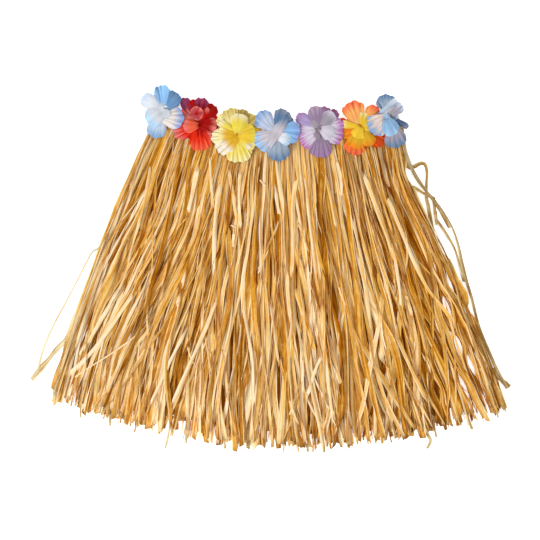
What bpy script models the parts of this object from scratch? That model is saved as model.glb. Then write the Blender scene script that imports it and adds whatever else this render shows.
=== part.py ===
"""Raffia grass skirt laid flat: three rows of raffia fringe sewn on a flattened waistband
ring, over the matted raffia of the back, with seven two-layer cloth flowers on the band.

Frame: metres, +X along the waist, +Y from hem to waist, +Z up. The skirt rests on z = 0
and the origin is the middle of its footprint.
"""

import math
import random
from collections import namedtuple

import bmesh
import bpy
from mathutils import Vector

MM = 0.001
SEAM = 0.3 * MM  # gap between pieces that are sewn together
WELD = 0.001 * MM  # corners nearer than this are one corner

# Waistband: an elastic ring pressed flat, whose line dips in the middle.
BAND_LEFT_X = -150 * MM
BAND_RIGHT_X = 172 * MM
BAND_HEIGHT = 20 * MM
BAND_WALL = 1.3 * MM
BAND_SLIT = 2.8 * MM
BAND_LOW_X = 12 * MM
BAND_LOW_Y = 182 * MM
BAND_RISE_LEFT = 35 * MM
BAND_RISE_RIGHT = 26 * MM
BAND_GATHERS = 30
GATHER_DEPTH = 0.35 * MM
BAND_INSET = 0.012  # where the ring turns, as a share of the band's length
BAND_TURN = 0.12  # how soon after its turn a wall is flat, as a share of its length

# Outline of the fringe: where its hem runs, and how its sides bow.
HEM_LEFT_X = -298 * MM
HEM_RIGHT_X = 321 * MM
HEM_LOW_X = 34 * MM
HEM_LOW_Y = -243.7 * MM
HEM_CURVE = 0.63 / (1000 * MM)
LEFT_BOW = 8 * MM
RIGHT_PINCH = 13 * MM
PINCH_AT = 0.2
PINCH_SPAN = 0.17
PINCH_POWER = 6
PINCH_START = 0.05
DROP = 405 * MM  # length of the raffia below the band

# Back of the skirt: its raffia lies matted in one flat layer under the fringe.
BACK_TONGUE = 1.8 * MM  # its heading, under the band
BACK_TOP = 5.6 * MM
BACK_HEM = 2.0 * MM
BACK_LOCKS = 32
BACK_GROOVE = 0.9 * MM
BACK_HEM_AT = 0.925
BACK_HEM_RAGGED = 0.025
BACK_INSET = 0.008
BACK_EDGE = 0.35  # thickness at its two sides, as a share of that in the middle
BACK_EDGE_RISE = 9
# Where its rows of corners lie: the heading's two edges, the step up, and down to the hem.
BACK_ROWS = (-BAND_HEIGHT / DROP, 0.004, 0.012, 0.15, 0.45, 0.75, 1.0)
BACK_BODY_ROW = 2
RAGGED_BELOW = 0.1

# One raffia ribbon's section, as shares of its width: a folded strip with a ridge.
RIDGE_HEIGHT = 0.3
RIDGE_SHIFT = 0.12

FRINGE_FLOOR = BACK_TONGUE + 2 * BAND_WALL + BAND_SLIT + 2 * GATHER_DEPTH + 3 * SEAM

# Rows of fringe, lowest first. place: middle of the sewn heading, below the band's middle;
# heading: its thickness; root, body, hem and tip: height of the ribbons' underside where
# they leave the heading, at the top of the back, at its hem and at their own ends; clump
# and phase: how many clumps the ribbons crowd into, and where these begin.
Row = namedtuple("Row", "name ribbons place heading root body hem tip clump phase seed")
ROWS = (
    Row("fringe_lower", 74, 6.6 * MM, 2.0 * MM, 8.9 * MM, 7.3 * MM, 4.4 * MM, 1.5 * MM, 9, 0.10, 3),
    Row("fringe_middle", 78, 0.0 * MM, 4.2 * MM, 11.4 * MM, 10.1 * MM, 7.6 * MM, 4.3 * MM, 11, 0.45, 5),
    Row("fringe_upper", 70, -6.6 * MM, 6.6 * MM, 13.7 * MM, 12.9 * MM, 10.6 * MM, 7.2 * MM, 8, 0.75, 8),
)
HEADING_WIDTH = 5.4 * MM
HEADING_TOP = 0.8  # width of its top, as a share of its foot
HEADING_OVERHANG = 0.014  # how far it goes on past the fringe, as a share of its length
HEADING_PIECES = 28
RIBBON_STATIONS = (0.0, 0.07, 0.27, 0.53, 0.79, 1.0)
CLUMP_REACH = 0.33  # how far ribbons crowd together, below 1 so that none cross
SWAY_REACH = 0.2
SWAYS = 2
EDGE_CALM = 12  # how soon from a side of the fringe its ribbons crowd and sway in full
RIBBON_FILL = (0.56, 0.74)  # ribbon width as a share of the spacing
TIP_WIDTH = 0.8
SETTLE = 0.1  # how far down the ribbons have come down onto the back
FLOAT = 0.45 * MM  # how much higher than its neighbours a ribbon may lie
FLOAT_RISE = 8
HEM_RAGGED = 0.042
LONG_EVERY = 17  # every so many ribbons one hangs longer, by this share of the drop
LONG_BY = (0.0056, 0.014)

# Ribbons that stray out of the fringe at its two sides, by row. side: 0 left, 1 right;
# start: where along the heading; route: along the fringe, out past its side, over the floor.
Stray = namedtuple("Stray", "row side start width route")


def route(*rows):
    return tuple((along, out * MM, height * MM) for along, out, height in rows)


STRAYS = (
    Stray("fringe_upper", 0, -0.0095, 2.6 * MM, route(
        (0.08, 2.6, 13.4), (0.3, 2.6, 12.6), (0.42, 3.4, 11.8), (0.48, 5, 11.2), (0.575, 11, 9),
        (0.665, 19.4, 7), (0.75, 27, 6), (0.826, 31.6, 5.2), (0.896, 32.4, 4.6))),
    Stray("fringe_middle", 0, -0.0095, 4.4 * MM, route(
        (0.08, 3.0, 10.8), (0.3, 3.0, 9.6), (0.5, 3.0, 8.5), (0.7, 3.2, 6.5), (0.777, 5, 5),
        (0.82, 13.4, 3.6), (0.86, 23, 2.2), (0.925, 36.5, 1.2))),
    Stray("fringe_upper", 1, 1.0095, 3.2 * MM, route(
        (0.08, 2.6, 13.2), (0.15, 2.8, 13), (0.2, 4.9, 12.5), (0.236, 9.7, 12), (0.265, 15.5, 11.5),
        (0.315, 18.7, 11), (0.37, 19, 10.5), (0.43, 15.8, 10), (0.49, 11, 10), (0.56, 7, 9.5),
        (0.63, 5.6, 9), (0.71, 4, 8.5), (0.78, 4, 7.8), (0.85, 5, 6.6), (0.94, 9, 5))),
    Stray("fringe_middle", 1, 1.0095, 2.8 * MM, route(
        (0.08, 2.4, 10.8), (0.13, 2.6, 10.4), (0.15, 5, 10), (0.143, 12, 9.6), (0.14, 19, 9.2),
        (0.165, 22, 8.8), (0.2, 18, 8.4), (0.255, 8.5, 8), (0.3, 4, 7.6), (0.4, 2.4, 7.2),
        (0.6, 2.3, 6), (0.8, 2.3, 4.4), (0.9, 4, 3.4), (0.955, 11, 2.6))),
)

# Flowers, left to right: where each is sewn; rise: how high its petals stand over its
# throat; curl: how much higher the inner ones end; notch: how deep the outer ones are cut.
Flower = namedtuple("Flower", "name x y rise curl notch outer inner colour")
Petal = namedtuple("Petal", "bearing length spread")


def petals(*rows):
    """Petals from rows of bearing (degrees), length (mm) and half spread (degrees)."""
    return tuple(Petal(math.radians(b), length * MM, math.radians(w)) for b, length, w in rows)


FLOWERS = (
    Flower("blue_left", -143.8 * MM, 213.3 * MM, 12.5 * MM, 7 * MM, 0.56,
           petals((150, 33, 24), (97, 34, 30), (48, 31, 34), (-12, 30, 40), (-74, 34, 36),
                  (-130, 35.5, 50)),
           petals((110, 17, 36), (40, 16, 36), (-35, 17, 36), (-110, 17, 38), (180, 18, 36)),
           (0.42, 0.62, 0.9)),
    Flower("red", -98.5 * MM, 196.4 * MM, 3.5 * MM, 4 * MM, 0.84,
           petals((118, 38, 40), (62, 37.5, 40), (2, 31.5, 42), (-84, 37, 44), (-152, 34, 46)),
           petals((92, 25, 30), (42, 25, 26), (-12, 22, 34), (-85, 21, 40), (190, 16, 40)),
           (0.8, 0.05, 0.03)),
    Flower("yellow", -45.2 * MM, 179.6 * MM, 10.3 * MM, 5.5 * MM, 0.84,
           petals((109, 36, 40), (52, 37, 42), (-4, 31, 40), (-70, 36.5, 44), (-142, 36, 44),
                  (166, 34, 36)),
           petals((80, 27, 34), (140, 25, 34), (201, 22, 36), (-63, 23, 40), (18, 25, 36)),
           (0.95, 0.8, 0.2)),
    Flower("blue_middle", 8.8 * MM, 183.6 * MM, 13.5 * MM, 6 * MM, 0.8,
           petals((134, 32.5, 36), (68, 31.5, 42), (0, 31, 38), (-76, 37, 40), (-148, 34, 44)),
           petals((60, 18, 38), (130, 16, 38), (205, 16, 38), (-85, 16, 38), (-15, 16, 38)),
           (0.4, 0.6, 0.88)),
    Flower("purple", 66.6 * MM, 187.0 * MM, 8.0 * MM, 7 * MM, 0.82,
           petals((147, 36, 34), (92, 34, 38), (40, 34, 38), (-20, 33, 40), (-85, 36.5, 42),
                  (-155, 31.5, 44)),
           petals((100, 20, 36), (50, 24, 34), (-10, 20, 36), (-100, 14, 40), (178, 15, 38)),
           (0.72, 0.5, 0.8)),
    Flower("orange", 122.9 * MM, 189.7 * MM, 3.5 * MM, 6 * MM, 0.84,
           petals((107, 38.5, 40), (54, 34, 32), (-36, 34.5, 36), (-106, 35.5, 42), (176, 32, 42)),
           petals((166, 25, 30), (-108, 28, 34), (-58, 22, 32), (50, 17, 36), (115, 18, 36)),
           (0.95, 0.4, 0.1)),
    Flower("blue_right", 158.5 * MM, 202.5 * MM, 12.5 * MM, 6 * MM, 0.6,
           petals((99, 33.5, 32), (52, 27.5, 32), (-24, 30, 24), (-64, 38.5, 38), (-145, 32, 46)),
           petals((-62, 23, 32), (54, 20, 36), (112, 19, 36), (205, 14, 40)),
           (0.42, 0.62, 0.9)),
)
FLOWER_BASE = 15.4 * MM
PETAL_CLOTH = 1.0 * MM
INNER_NOTCH = 0.7
PETAL_ROUND = 3  # the first bends a petal's edge away from its tip, the second fills it out
PETAL_FULL = 0.55
THROAT = 7 * MM
CURL_SPAN = 30 * MM
CURL_POWER = 1.6
RUFFLE = 0.8 * MM
RUFFLES_PER_PETAL = 2
RUFFLE_LIMIT = 1.2
OUTER_RINGS = (0.0, 0.22, 0.6, 1.0)
INNER_RINGS = (0.0, 0.5, 1.0)
OUTER_SIDES = 45
INNER_SIDES = 30
LAYER_LIFT = 1.7 * MM
LAYER_LIFT_BY_RISE = 0.16  # a steep funnel needs more room between its two layers


def clear_scene():
    for obj in list(bpy.data.objects):
        bpy.data.objects.remove(obj)


def new_collection(name):
    collection = bpy.data.collections.new(name)
    bpy.context.scene.collection.children.link(collection)
    return collection


def material(name, colour, roughness):
    made = bpy.data.materials.new(name)
    made.use_nodes = True
    shader = made.node_tree.nodes["Principled BSDF"]
    shader.inputs["Base Color"].default_value = (*colour, 1)
    shader.inputs["Roughness"].default_value = roughness
    shader.inputs["Metallic"].default_value = 0
    return made


def add_object(name, data, collection, made_of=None):
    obj = bpy.data.objects.new(name, data)
    collection.objects.link(obj)
    if made_of:
        obj.data.materials.append(made_of)
    return obj


def blend(a, b, share):
    return a + (b - a) * share


# ---- the skirt's plan: where a place on the band or in the fringe lies -----------------


def band_point(across, below):
    """Place on the band: across 0 to 1 from left to right, below its middle line."""
    x = blend(BAND_LEFT_X, BAND_RIGHT_X, across)
    half = (BAND_RIGHT_X - BAND_LEFT_X) / 2
    rise = BAND_RISE_LEFT if x < BAND_LOW_X else BAND_RISE_RIGHT
    y = BAND_LOW_Y + rise * ((x - BAND_LOW_X) / half) ** 2
    slope = 2 * rise * (x - BAND_LOW_X) / half**2
    down = Vector((slope, -1)).normalized()
    return Vector((x, y)) + down * below


def fringe_point(across, along):
    """Place in the fringe: along 0 at the band's lower edge, 1 at the hem."""
    if along < 0:
        return band_point(across, BAND_HEIGHT / 2 + along * DROP)
    start = band_point(across, BAND_HEIGHT / 2)
    hem_x = blend(HEM_LEFT_X, HEM_RIGHT_X, across)
    hem_y = HEM_LOW_Y + HEM_CURVE * (hem_x - HEM_LOW_X) ** 2
    place = start.lerp(Vector((hem_x, hem_y)), along)
    bow = -LEFT_BOW * (1 - across) ** 2 * 4 * along * (1 - along)
    pinch = RIGHT_PINCH * across**PINCH_POWER * math.exp(-(((along - PINCH_AT) / PINCH_SPAN) ** 2))
    place.x += bow - pinch * min(1, along / PINCH_START)
    return place


# ---- shapes ----------------------------------------------------------------------------


def mapped_grid(name, columns, rows, place):
    """Open surface: a grid whose corners (0 to 1 each way) are moved by place(u, v)."""
    surface = bmesh.new()
    bmesh.ops.create_grid(surface, x_segments=columns, y_segments=rows, size=0.5)
    for vert in surface.verts:
        vert.co = place(vert.co.x + 0.5, vert.co.y + 0.5)
    bmesh.ops.remove_doubles(surface, verts=surface.verts, dist=WELD)
    mesh = bpy.data.meshes.new(name)
    surface.to_mesh(mesh)
    surface.free()
    return mesh


def thicken(obj, thickness, offset):
    shell = obj.modifiers.new("cloth", "SOLIDIFY")
    shell.thickness = thickness
    shell.offset = offset
    shell.use_even_offset = False


def section_curve(name, points, collection):
    """Closed flat outline that a ribbon or a heading is swept with."""
    curve = bpy.data.curves.new(name, "CURVE")
    curve.dimensions = "2D"
    curve.fill_mode = "NONE"
    spline = curve.splines.new("POLY")
    spline.points.add(len(points) - 1)
    for point, (x, y) in zip(spline.points, points):
        point.co = (x, y, 0, 1)
    spline.use_cyclic_u = True
    outline = add_object(name, curve, collection)
    outline.hide_render = True
    return outline


def swept_mesh(name, paths, section, collection):
    """Mesh of several paths, each a list of (point, width), swept with the same section."""
    curve = bpy.data.curves.new(name, "CURVE")
    curve.dimensions = "3D"
    curve.twist_mode = "Z_UP"
    curve.bevel_mode = "OBJECT"
    curve.bevel_object = section
    curve.use_fill_caps = True
    for path in paths:
        spline = curve.splines.new("POLY")
        spline.points.add(len(path) - 1)
        for point, (place, width) in zip(spline.points, path):
            point.co = (*place, 1)
            point.radius = width
    guide = add_object(name + "_guide", curve, collection)
    bpy.context.view_layer.update()
    evaluated = guide.evaluated_get(bpy.context.evaluated_depsgraph_get())
    mesh = bpy.data.meshes.new_from_object(evaluated)
    bpy.data.objects.remove(guide)
    swept = bmesh.new()
    swept.from_mesh(mesh)
    bmesh.ops.remove_doubles(swept, verts=swept.verts, dist=WELD)
    bmesh.ops.recalc_face_normals(swept, faces=swept.faces)
    swept.to_mesh(mesh)
    swept.free()
    mesh.name = name
    return mesh


def smooth_route(points, pieces):
    """Points of a smooth curve through the route's own points."""
    route = [Vector(p) for p in points]
    ends = [2 * route[0] - route[1], *route, 2 * route[-1] - route[-2]]
    made = []
    for before, start, end, after in zip(ends, ends[1:], ends[2:], ends[3:]):
        for step in range(pieces):
            t = step / pieces
            made.append(
                0.5 * (2 * start + (end - before) * t
                       + (2 * before - 5 * start + 4 * end - after) * t**2
                       + (3 * start - before - 3 * end + after) * t**3)
            )
    return [*made, route[-1]]


# ---- waistband and back ----------------------------------------------------------------


def build_waistband(parts, cloth):
    """Ring pressed flat: its two walls lie on each other and it turns at the two ends."""
    turn = BAND_WALL / 2 + BAND_SLIT / 2
    middle = BACK_TONGUE + SEAM + GATHER_DEPTH + BAND_WALL + BAND_SLIT / 2

    def place(around, down):
        swing = math.cos(2 * math.pi * around)
        across = blend(BAND_INSET, 1 - BAND_INSET, 0.5 + 0.5 * swing)
        flat = math.sin(2 * math.pi * around)
        lift = math.copysign(min(1, abs(flat) / BAND_TURN), flat) * turn
        lift += GATHER_DEPTH * math.sin(math.pi * BAND_GATHERS * around)
        return Vector((*band_point(across, (down - 0.5) * BAND_HEIGHT), middle + lift))

    mesh = mapped_grid("waistband", 2 * BAND_GATHERS, 2, place)
    band = add_object("waistband", mesh, parts, cloth)
    thicken(band, BAND_WALL, 0)
    return band


def build_back(parts, raffia):
    """Matted raffia of the skirt's back, flat below, in locks above and ragged at the hem."""
    ragged = random.Random(11)
    hem = [BACK_HEM_AT + ragged.uniform(-1, 1) * BACK_HEM_RAGGED for _ in range(2 * BACK_LOCKS + 1)]
    columns = 2 * BACK_LOCKS
    rows = len(BACK_ROWS) - 1

    def place(u, v):
        column, row = round(u * columns), round(v * rows)
        along = BACK_ROWS[row]
        if along > RAGGED_BELOW:
            along *= hem[column]
        across = blend(BACK_INSET, 1 - BACK_INSET, u)
        rise = BACK_TONGUE
        if row >= BACK_BODY_ROW:
            side = min(1, BACK_EDGE + BACK_EDGE_RISE * u * (1 - u))
            rise = blend(BACK_HEM, BACK_TOP, (1 - max(0, along)) * side)
            rise -= BACK_GROOVE * (column % 2)
        return Vector((*fringe_point(across, along), rise))

    mesh = mapped_grid("raffia_back", columns, rows, place)
    solid = bmesh.new()
    solid.from_mesh(mesh)
    below = bmesh.ops.extrude_face_region(solid, geom=list(solid.faces))["geom"]
    under = [item for item in below if isinstance(item, bmesh.types.BMVert)]
    for vert in under:
        vert.co.z = 0
    flat = [item for item in below if isinstance(item, bmesh.types.BMFace)]
    bmesh.ops.dissolve_faces(solid, faces=flat)
    bmesh.ops.recalc_face_normals(solid, faces=solid.faces)
    solid.to_mesh(mesh)
    solid.free()
    return add_object("raffia_back", mesh, parts, raffia)


# ---- fringe ----------------------------------------------------------------------------


def crowded(row, across, along):
    """Ribbons gather into clumps on their way down, without crossing."""
    clump = CLUMP_REACH * math.sin(2 * math.pi * (row.clump * across + row.phase))
    clump /= 2 * math.pi * row.clump
    sway = SWAY_REACH * math.sin(2 * math.pi * (SWAYS * across + 3 * row.phase))
    sway /= 2 * math.pi * SWAYS
    edge = min(1, EDGE_CALM * across * (1 - across))
    return across + (clump * min(1, 2 * along) + sway * along) * edge


def ribbon_height(row, along):
    """Height of the ribbons' underside: over the headings, down onto the back, to the hem."""
    if along < 0:
        return row.root
    over_back = blend(row.body, row.hem, min(1, along / BACK_HEM_AT))
    settle = min(1, along / SETTLE)
    height = blend(row.root, over_back, settle)
    past = max(0, along - BACK_HEM_AT + BACK_HEM_RAGGED) / (1 - BACK_HEM_AT + BACK_HEM_RAGGED)
    return blend(height, row.tip, min(1, past))


def ribbon_path(row, index, chance):
    across = (index + 0.5) / row.ribbons
    root = (row.place - BAND_HEIGHT / 2) / DROP
    tip = 1 - chance.uniform(0, HEM_RAGGED)
    if (index + row.seed) % LONG_EVERY == 0:
        tip = 1 + chance.uniform(*LONG_BY)
    fill = chance.uniform(*RIBBON_FILL)
    float_up = chance.uniform(0, FLOAT)
    beside = 0.2 / row.ribbons  # a place near by, for how far apart the ribbons are here
    path = []
    for station in RIBBON_STATIONS:
        along = blend(root, tip, station)
        here = crowded(row, across, max(0, along))
        place = fringe_point(here, along)
        near = fringe_point(crowded(row, across + beside, max(0, along)), along)
        spacing = (near - place).length / (beside * row.ribbons)
        height = ribbon_height(row, along) + float_up * min(1, max(0, along) * FLOAT_RISE)
        width = fill * spacing * (TIP_WIDTH if station == 1 else 1)
        path.append((Vector((*place, height)), width))
    return path


def stray_path(row, stray):
    points = [(*band_point(stray.start, below), row.root) for below in (row.place, BAND_HEIGHT / 2)]
    outward = 1 if stray.side else -1
    for along, out, height in stray.route:
        edge = fringe_point(stray.side, along)
        points.append((edge.x + outward * out, edge.y, height))
    return [(point, stray.width) for point in smooth_route(points, 2)]


def heading_path(row):
    path = []
    for step in range(HEADING_PIECES + 1):
        across = blend(-HEADING_OVERHANG, 1 + HEADING_OVERHANG, step / HEADING_PIECES)
        path.append((Vector((*band_point(across, row.place), FRINGE_FLOOR)), 1.0))
    return path


def build_fringe(row, parts, helpers, raffia):
    """Ribbons hanging side by side from one sewn heading, all one solid."""
    chance = random.Random(row.seed)
    ridge = section_curve(
        row.name + "_section", ((-0.5, 0), (0.5, 0), (RIDGE_SHIFT, RIDGE_HEIGHT)), helpers)
    half = HEADING_WIDTH / 2
    top = HEADING_TOP * half
    bar = section_curve(
        row.name + "_bar", ((-half, 0), (half, 0), (top, row.heading), (-top, row.heading)), helpers)
    paths = [ribbon_path(row, index, chance) for index in range(row.ribbons)]
    paths += [stray_path(row, stray) for stray in STRAYS if stray.row == row.name]
    fringe = add_object(row.name, swept_mesh(row.name, paths, ridge, helpers), parts, raffia)
    bar_name = row.name + "_heading"
    heading = add_object(bar_name, swept_mesh(bar_name, [heading_path(row)], bar, helpers), helpers)
    heading.hide_render = True
    heading.display_type = "WIRE"
    join = fringe.modifiers.new("heading", "BOOLEAN")
    join.operation = "UNION"
    join.object = heading
    return fringe


# ---- flowers ---------------------------------------------------------------------------


def petal_reach(layer, notch_share, bearing):
    """Distance from the throat to the layer's edge in one direction."""
    notch = notch_share * min(petal.length for petal in layer)
    reach = notch
    for petal in layer:
        turn = (bearing - petal.bearing + math.pi) % (2 * math.pi) - math.pi
        off = abs(turn) / petal.spread
        if off < 1:
            fullness = (1 - off**PETAL_ROUND) ** PETAL_FULL
            reach = max(reach, notch + (petal.length - notch) * fullness)
    return reach


def petal_height(flower, distance, bearing):
    """Height of the outer layer over the band: a funnel that opens into ruffled petals."""
    reach = petal_reach(flower.outer, flower.notch, bearing)
    share = min(RUFFLE_LIMIT, distance / reach)
    opening = 1 - math.exp(-distance / THROAT)
    petal_count = len(flower.outer)
    wave = RUFFLE * share**2 * math.sin(petal_count * RUFFLES_PER_PETAL * bearing)
    return FLOWER_BASE + flower.rise * opening + wave


def build_petals(flower, name, layer, notch, rings, sides, lift, curl, parts, cloth):
    """One cut layer of petals, joined at the throat."""

    def place(around, ring):
        bearing = 2 * math.pi * around
        distance = rings[round(ring * (len(rings) - 1))] * petal_reach(layer, notch, bearing)
        height = petal_height(flower, distance, bearing) + lift
        height += curl * (distance / CURL_SPAN) ** CURL_POWER
        return Vector((
            flower.x + distance * math.cos(bearing), flower.y + distance * math.sin(bearing), height))

    mesh = mapped_grid(name, sides, len(rings) - 1, place)
    layer_cloth = add_object(name, mesh, parts, cloth)
    thicken(layer_cloth, PETAL_CLOTH, 0)
    return layer_cloth


def build_flower(flower, parts):
    cloth = material("petal_" + flower.name, flower.colour, 0.55)
    build_petals(flower, "petals_outer_" + flower.name, flower.outer, flower.notch, OUTER_RINGS,
                 OUTER_SIDES, 0, 0, parts, cloth)
    clearance = LAYER_LIFT + LAYER_LIFT_BY_RISE * flower.rise
    build_petals(flower, "petals_inner_" + flower.name, flower.inner, INNER_NOTCH, INNER_RINGS,
                 INNER_SIDES, clearance, flower.curl, parts, cloth)


def main():
    clear_scene()
    parts = new_collection("grass_skirt")
    helpers = new_collection("helpers")
    raffia = material("raffia", (0.8, 0.55, 0.25), 0.5)
    elastic = material("elastic", (0.85, 0.75, 0.55), 0.8)
    build_back(parts, raffia)
    build_waistband(parts, elastic)
    for row in ROWS:
        build_fringe(row, parts, helpers, raffia)
    for flower in FLOWERS:
        build_flower(flower, parts)


main()
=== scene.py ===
"""Looks of the raffia grass skirt: ribbons, knitted waistband and seven cloth flowers.

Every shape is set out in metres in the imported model's own frame. The plan of the skirt
(where the band runs and where the fringe falls) repeats the source's named values.
"""

import math
from collections import namedtuple

import bpy
import numpy as np
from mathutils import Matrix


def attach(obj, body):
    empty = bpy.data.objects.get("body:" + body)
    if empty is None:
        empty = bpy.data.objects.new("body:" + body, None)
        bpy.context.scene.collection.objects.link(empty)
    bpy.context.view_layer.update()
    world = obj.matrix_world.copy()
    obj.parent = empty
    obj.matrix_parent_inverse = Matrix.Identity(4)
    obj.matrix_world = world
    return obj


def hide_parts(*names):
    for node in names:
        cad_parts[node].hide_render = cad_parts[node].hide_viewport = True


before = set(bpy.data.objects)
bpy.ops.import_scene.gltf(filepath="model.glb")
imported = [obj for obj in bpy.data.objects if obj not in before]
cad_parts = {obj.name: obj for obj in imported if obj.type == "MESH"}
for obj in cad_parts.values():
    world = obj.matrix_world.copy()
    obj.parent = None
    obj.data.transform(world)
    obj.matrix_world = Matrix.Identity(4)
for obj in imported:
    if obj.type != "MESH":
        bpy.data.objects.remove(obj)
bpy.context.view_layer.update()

MM = 0.001

# ---- plan of the skirt, as in the source ----

BAND_LEFT_X = -150 * MM
BAND_RIGHT_X = 172 * MM
BAND_HEIGHT = 20 * MM
BAND_LOW_X = 12 * MM
BAND_LOW_Y = 182 * MM
BAND_RISE_LEFT = 35 * MM
BAND_RISE_RIGHT = 26 * MM
HEM_LEFT_X = -298 * MM
HEM_RIGHT_X = 321 * MM
HEM_LOW_X = 34 * MM
HEM_LOW_Y = -243.7 * MM
HEM_CURVE = 0.63 / (1000 * MM)
LEFT_BOW = 8 * MM
RIGHT_PINCH = 13 * MM
PINCH_AT = 0.2
PINCH_SPAN = 0.17
PINCH_POWER = 6
PINCH_START = 0.05
DROP = 405 * MM
FLOOR_GAP = 0.4 * MM  # nothing hangs below this
ON_BAND = 8.8 * MM  # height of a ribbon's cut end where it is sewn on


def blend(a, b, share):
    return a + (b - a) * share


def smooth(share):
    share = np.clip(share, 0, 1)
    return share * share * (3 - 2 * share)


def band_point(across, below):
    """Plan of a place on the band: across 0 to 1 from left to right, below its middle line."""
    x = blend(BAND_LEFT_X, BAND_RIGHT_X, across)
    half = (BAND_RIGHT_X - BAND_LEFT_X) / 2
    rise = np.where(x < BAND_LOW_X, BAND_RISE_LEFT, BAND_RISE_RIGHT)
    slope = 2 * rise * (x - BAND_LOW_X) / half**2
    y = BAND_LOW_Y + rise * ((x - BAND_LOW_X) / half) ** 2
    size = np.hypot(slope, 1)
    return np.stack([x + below * slope / size, y - below / size], axis=-1)


def fringe_point(across, along):
    """Plan of a place in the fringe: along 0 at the band's lower edge, 1 at the hem."""
    across, along = np.broadcast_arrays(across, along)
    falling = np.maximum(along, 0)
    start = band_point(across, BAND_HEIGHT / 2 + np.minimum(along, 0) * DROP)
    hem_x = blend(HEM_LEFT_X, HEM_RIGHT_X, across)
    hem_y = HEM_LOW_Y + HEM_CURVE * (hem_x - HEM_LOW_X) ** 2
    hem = np.stack([hem_x, hem_y], axis=-1)
    place = blend(start, hem, falling[..., None])
    bow = -LEFT_BOW * (1 - across) ** 2 * 4 * falling * (1 - falling)
    near = np.exp(-(((falling - PINCH_AT) / PINCH_SPAN) ** 2))
    pinch = RIGHT_PINCH * np.clip(across, 0, 2) ** PINCH_POWER * near
    place[..., 0] += bow - pinch * np.minimum(1, falling / PINCH_START)
    return place


# ---- raffia ----

# Rows of ribbons, lowest first, with lengths in mm. reach: how far down the row hangs, as a
# share of the drop. end: how far right it goes, as a share of the fringe's width. place: where
# it is sewn, below the band's middle line. root, body, hem and tip: height of its ribbons at
# the sewing, below the band, near the hem and at their very tips. wide: a ribbon's usual
# width. loose: how freely its ribbons stray. pale: how much lighter they are than raffia is.
Layer = namedtuple("Layer", "name ribbons reach end place root body hem tip wide loose pale seed")
# The lower rows' pale values below 0 are painted shade: they darken ribbons lying under the rows
# above.
LAYERS = (
    Layer("raffia_matted", 150, 0.95, 0.915, 9, 1.4, 2.6, 1.6, 1.0, 14, 0.3, -0.44, 21),
    Layer("raffia_lower", 190, 1.0, 1, 6.6, 8.8, 7.0, 4.2, 2.0, 4.8, 0.9, -0.21, 22),
    Layer("raffia_middle", 205, 1.0, 1, 0, 10.8, 10.4, 7.8, 4.6, 4.8, 1.0, -0.08, 23),
    Layer("raffia_upper", 190, 0.992, 1, -6.6, 12.8, 13.8, 11.4, 7.6, 5.3, 1.2, 0.03, 24),
)
MATTED = 0.5  # a row less loose than this lies matted under the others
RIBBON_STATIONS = 56
MAP_NAME = "OFBake"  # flat layout of a piece's sheets, for its colours as a picture
CREASE = 0.06  # half width of a ribbon's lengthwise crease, as a share of its own half width

# How ribbons run. Sideways sizes are shares of the fringe's width, lengths are shares of the
# drop, and a ..._SHARE is how many of the ribbons do it.
CUT_ABOVE = (1.1, 4.4)  # least and most that a ribbon's end stands above its sewing, in mm
SHORT_BY = 0.034
LONG_BY = 0.018
LONG_SHARE = 0.05
CLUMPS = ((11, 0.42), (29, 0.5))  # how many across the fringe, and how tight
STRAY = 0.032
FAR_STRAY = 2.2  # how much further than the others the ones that stray far go
FAR_SHARE = 0.22
STRAY_FROM = 0.35  # how far down a straying ribbon is in its own place
BEND = 0.015
KINK = 0.09
KINK_SHARE = 0.4
SWEEP = 0.72  # how far towards the left side ribbons near it are swept
SWEEP_MOST = 0.85
WAVER = 0.0065
WEAVE = 1.6  # mm that a ribbon lies over or under its row
FLOAT = 0.8  # mm that it rises and sinks on its way
SPLIT_SHARE = 0.4  # ribbons that are split, and how wide they are beside a whole one
SPLIT_WIDTH = 0.4
TWIST_SHARE = 0.45
TWIST_LENGTH = 0.12
TONE = 0.56
KINDS = (0.28, 0.1, -0.09, -0.28)  # tones of four kinds of ribbon, and the share of each
KIND_SHARES = (0.2, 0.32, 0.33, 0.15)
WORN_TIP = 0.024

# Places where ribbons part and the floor shows: two ends and the half width, in mm.
PARTINGS = (
    ((241, 2), (248, -37), 3.4),
    ((235, -32), (244, -80), 3.2),
    ((250, 8), (263, -24), 2.6),
    ((246, -88), (265, -114), 2.6),
    ((264, -110), (277, -144), 2.2),
    ((219, -148), (232, -176), 2.6),
    ((254, -136), (267, -170), 1.8),
    ((237, 52), (249, 22), 2.2),
    ((182, 140), (194, 116), 2.4),
)

Ribbons = namedtuple("Ribbons", "plan height width roll fold fold_at curl tone worn cut")


def wander(chance, shape, along, *bends):
    """Smooth random curves about 0. A bend is its size, and the fewest and the most turns."""
    total = 0
    for size, fewest, most in bends:
        turns = chance.uniform(fewest, most, shape)
        start = chance.uniform(0, 1, shape)
        total = total + size * np.sin(2 * np.pi * (turns * along + start))
    return total


def parted(plan, clear):
    """Pushes ribbons' middle lines out of the partings, far enough to clear their own width."""
    for start, end, half in PARTINGS:
        start, end = np.array(start) * MM, np.array(end) * MM
        axis = end - start
        length = np.hypot(*axis)
        axis = axis / length
        side = np.array([-axis[1], axis[0]])
        along = (plan - start) @ axis / length
        off = (plan - start) @ side
        nearest = np.argmin(np.abs(along - 0.5), axis=1)[:, None]
        sign = np.where(np.take_along_axis(off, nearest, axis=1) < 0, -1, 1)
        room = half * MM + clear
        near = np.clip(1 - sign * off / (3 * room), 0, 1.3)
        push = room * near * np.sin(np.pi * np.clip((along + 0.2) / 1.4, 0, 1))
        plan = plan + (sign * push)[..., None] * side
    return plan


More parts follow.
